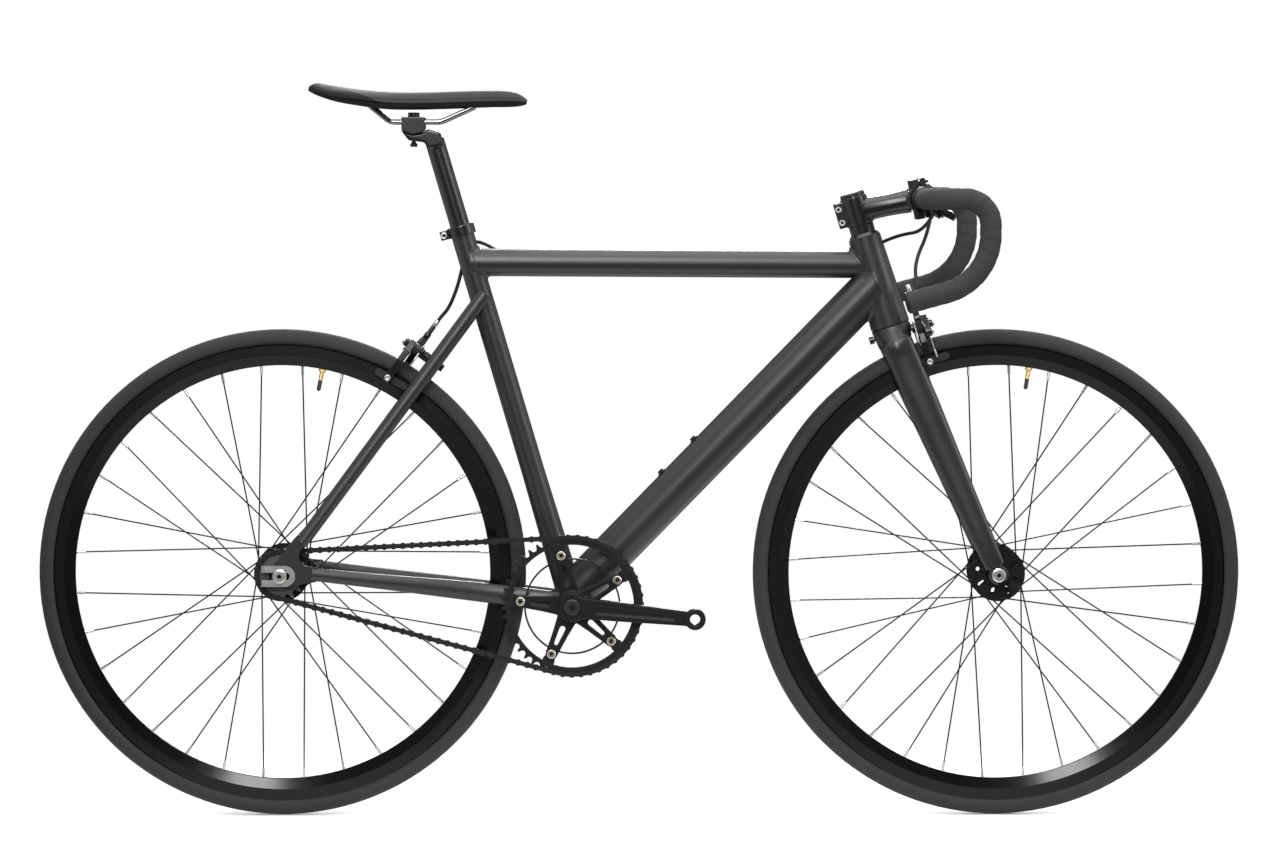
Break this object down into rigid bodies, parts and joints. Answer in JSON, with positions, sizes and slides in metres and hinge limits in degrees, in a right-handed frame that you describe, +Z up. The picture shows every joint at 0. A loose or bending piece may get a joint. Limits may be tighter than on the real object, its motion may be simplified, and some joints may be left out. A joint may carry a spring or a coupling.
{
  "type": "fixed gear bicycle",
  "caption": "Single-speed fixed gear bicycle with drop bars, deep rims, cross-top brake levers, caliper rim brakes and a chain drive to rear-facing track ends.",
  "frame": {"origin": "on the ground, midway between the wheel axles, in the centre plane", "axes": "+X forward, +Y to the left side (the drive side is -Y), +Z up"},
  "size_m": [1.6667, 0.45, 1.014],
  "materials": {
    "frame_paint": "satin charcoal black paint",
    "fork_paint": "satin charcoal black paint",
    "gloss_black_alloy": "gloss black anodised alloy",
    "brake_black": "gloss black",
    "rim_black": "gloss black anodised",
    "hub_black": "gloss black anodised",
    "tyre_rubber": "dark grey rubber",
    "tube_rubber": "butyl",
    "pad_rubber": "matte",
    "dark_spokes": "dark stainless",
    "silver_steel": "bright zinc",
    "bearing_steel": "ground steel",
    "cog_steel": "plain steel",
    "ring_black": "satin black anodised",
    "chain_steel": "black steel",
    "rail_chrome": "chromed steel",
    "saddle_base": "moulded",
    "saddle_cover": "matte synthetic leather",
    "tape": "cork wrap",
    "plug": "moulded",
    "cable_housing": "lined housing"
  },
  "bodies": {
    "frame": {"head_tube": "frame_paint", "top_tube": "frame_paint", "down_tube": "frame_paint", "seat_tube": "frame_paint", "bottom_bracket_shell": "frame_paint", "chainstays": "frame_paint", "seatstays": "frame_paint", "track_dropouts": "frame_paint", "dropout_plates": "silver_steel", "headset_bearings": "bearing_steel", "bottom_bracket_cups": "bearing_steel", "seat_collar": "gloss_black_alloy", "bottle_bolts": "silver_steel", "rear_axle": "silver_steel", "chain": "chain_steel", "rear_brake_pivot_bolt": "silver_steel", "rear_brake_cable": "cable_housing"},
    "saddle_post": {"seatpost": "gloss_black_alloy", "saddle_clamp": "gloss_black_alloy", "saddle_rails": "rail_chrome", "saddle_shell": "saddle_base", "saddle_pad": "saddle_cover"},
    "steering": {"fork": "fork_paint", "headset_stack": "gloss_black_alloy", "stem": "gloss_black_alloy", "stem_faceplate": "gloss_black_alloy", "stem_bolts": "silver_steel", "handlebar": "gloss_black_alloy", "bar_tape": "tape", "bar_end_plugs": "plug", "lever_clamps": "brake_black", "front_axle": "silver_steel", "front_brake_pivot_bolt": "silver_steel", "front_brake_cable": "cable_housing"},
    "front_wheel": {"front_rim": "rim_black", "front_tyre": "tyre_rubber", "front_inner_tube": "tube_rubber", "front_spokes": "dark_spokes", "front_hub": "hub_black"},
    "rear_wheel": {"rear_rim": "rim_black", "rear_tyre": "tyre_rubber", "rear_inner_tube": "tube_rubber", "rear_spokes": "dark_spokes", "rear_hub": "hub_black", "rear_cog": "cog_steel"},
    "crankset": {"chainring": "ring_black", "bb_spindle": "bearing_steel", "right_crank": "gloss_black_alloy", "left_crank": "gloss_black_alloy", "crank_fasteners": "silver_steel"},
    "rear_lever": {"rear_brake_lever": "brake_black"},
    "front_lever": {"front_brake_lever": "brake_black"},
    "front_caliper_right": {"front_brake_arm_right": "brake_black", "front_brake_pad_right": "pad_rubber"},
    "front_caliper_left": {"front_brake_arm_left": "brake_black", "front_brake_pad_left": "pad_rubber"},
    "rear_caliper_left": {"rear_brake_arm_left": "brake_black", "rear_brake_pad_left": "pad_rubber"},
    "rear_caliper_right": {"rear_brake_arm_right": "brake_black", "rear_brake_pad_right": "pad_rubber"}
  },
  "joints": [
    {"name": "steering_turn", "type": "hinge", "parent": "frame", "child": "steering", "pos_m": [0.3476, 0, 0.6812], "axis": [-0.2823, 0, 0.9593], "range_deg": [-60, 60], "deforming": ["rear_brake_cable"]},
    {"name": "front_wheel_spin", "type": "hinge", "parent": "steering", "child": "front_wheel", "pos_m": [0.4954, 0, 0.338], "axis": [0, 1, 0], "continuous": true},
    {"name": "rear_wheel_spin", "type": "hinge", "parent": "frame", "child": "rear_wheel", "pos_m": [-0.4954, 0, 0.338], "axis": [0, 1, 0], "continuous": true, "deforming": ["chain"]},
    {"name": "crank_spin", "type": "hinge", "parent": "frame", "child": "crankset", "pos_m": [-0.09302, 0, 0.2944], "axis": [0, 1, 0], "continuous": true, "deforming": ["chain"]},
    {"name": "saddle_height", "type": "slide", "parent": "frame", "child": "saddle_post", "axis": [-0.284, 0, 0.9588], "range_m": [-0.09, 0.1]},
    {"name": "rear_lever_squeeze", "type": "hinge", "parent": "steering", "child": "rear_lever", "pos_m": [0.41481, -0.062, 0.83962], "axis": [-0.5861, 0, -0.8102], "range_deg": [0, 14], "stiffness_Nm_per_rad": 1.5, "springref_deg": -11.46},
    {"name": "front_lever_squeeze", "type": "hinge", "parent": "steering", "child": "front_lever", "pos_m": [0.41481, 0.062, 0.83962], "axis": [0.5861, 0, 0.8102], "range_deg": [0, 14], "stiffness_Nm_per_rad": 1.5, "springref_deg": -11.46},
    {"name": "front_arm_right_close", "type": "hinge", "parent": "steering", "child": "front_caliper_right", "pos_m": [0.38677, 0, 0.67918], "axis": [0.9593, 0, 0.2823], "range_deg": [0, 1.92]},
    {"name": "front_arm_left_close", "type": "hinge", "parent": "steering", "child": "front_caliper_left", "pos_m": [0.39503, 0.019, 0.68474], "axis": [-0.9593, 0, -0.2823], "range_deg": [0, 1.82]},
    {"name": "rear_arm_left_close", "type": "hinge", "parent": "frame", "child": "rear_caliper_left", "pos_m": [-0.30889, 0, 0.64726], "axis": [-0.8093, 0, 0.5875], "range_deg": [0, 1.92]},
    {"name": "rear_arm_right_close", "type": "hinge", "parent": "frame", "child": "rear_caliper_right", "pos_m": [-0.31482, -0.019, 0.65527], "axis": [0.8093, 0, -0.5875], "range_deg": [0, 1.82]}
  ],
  "couplings": [
    {"joint": "crank_spin", "follows": "rear_wheel_spin", "ratio": 0.34043},
    {"joint": "front_arm_right_close", "follows": "front_lever_squeeze", "ratio": 0.13571},
    {"joint": "front_arm_left_close", "follows": "front_lever_squeeze", "ratio": 0.12857},
    {"joint": "rear_arm_left_close", "follows": "rear_lever_squeeze", "ratio": 0.13571},
    {"joint": "rear_arm_right_close", "follows": "rear_lever_squeeze", "ratio": 0.12857}
  ]
}
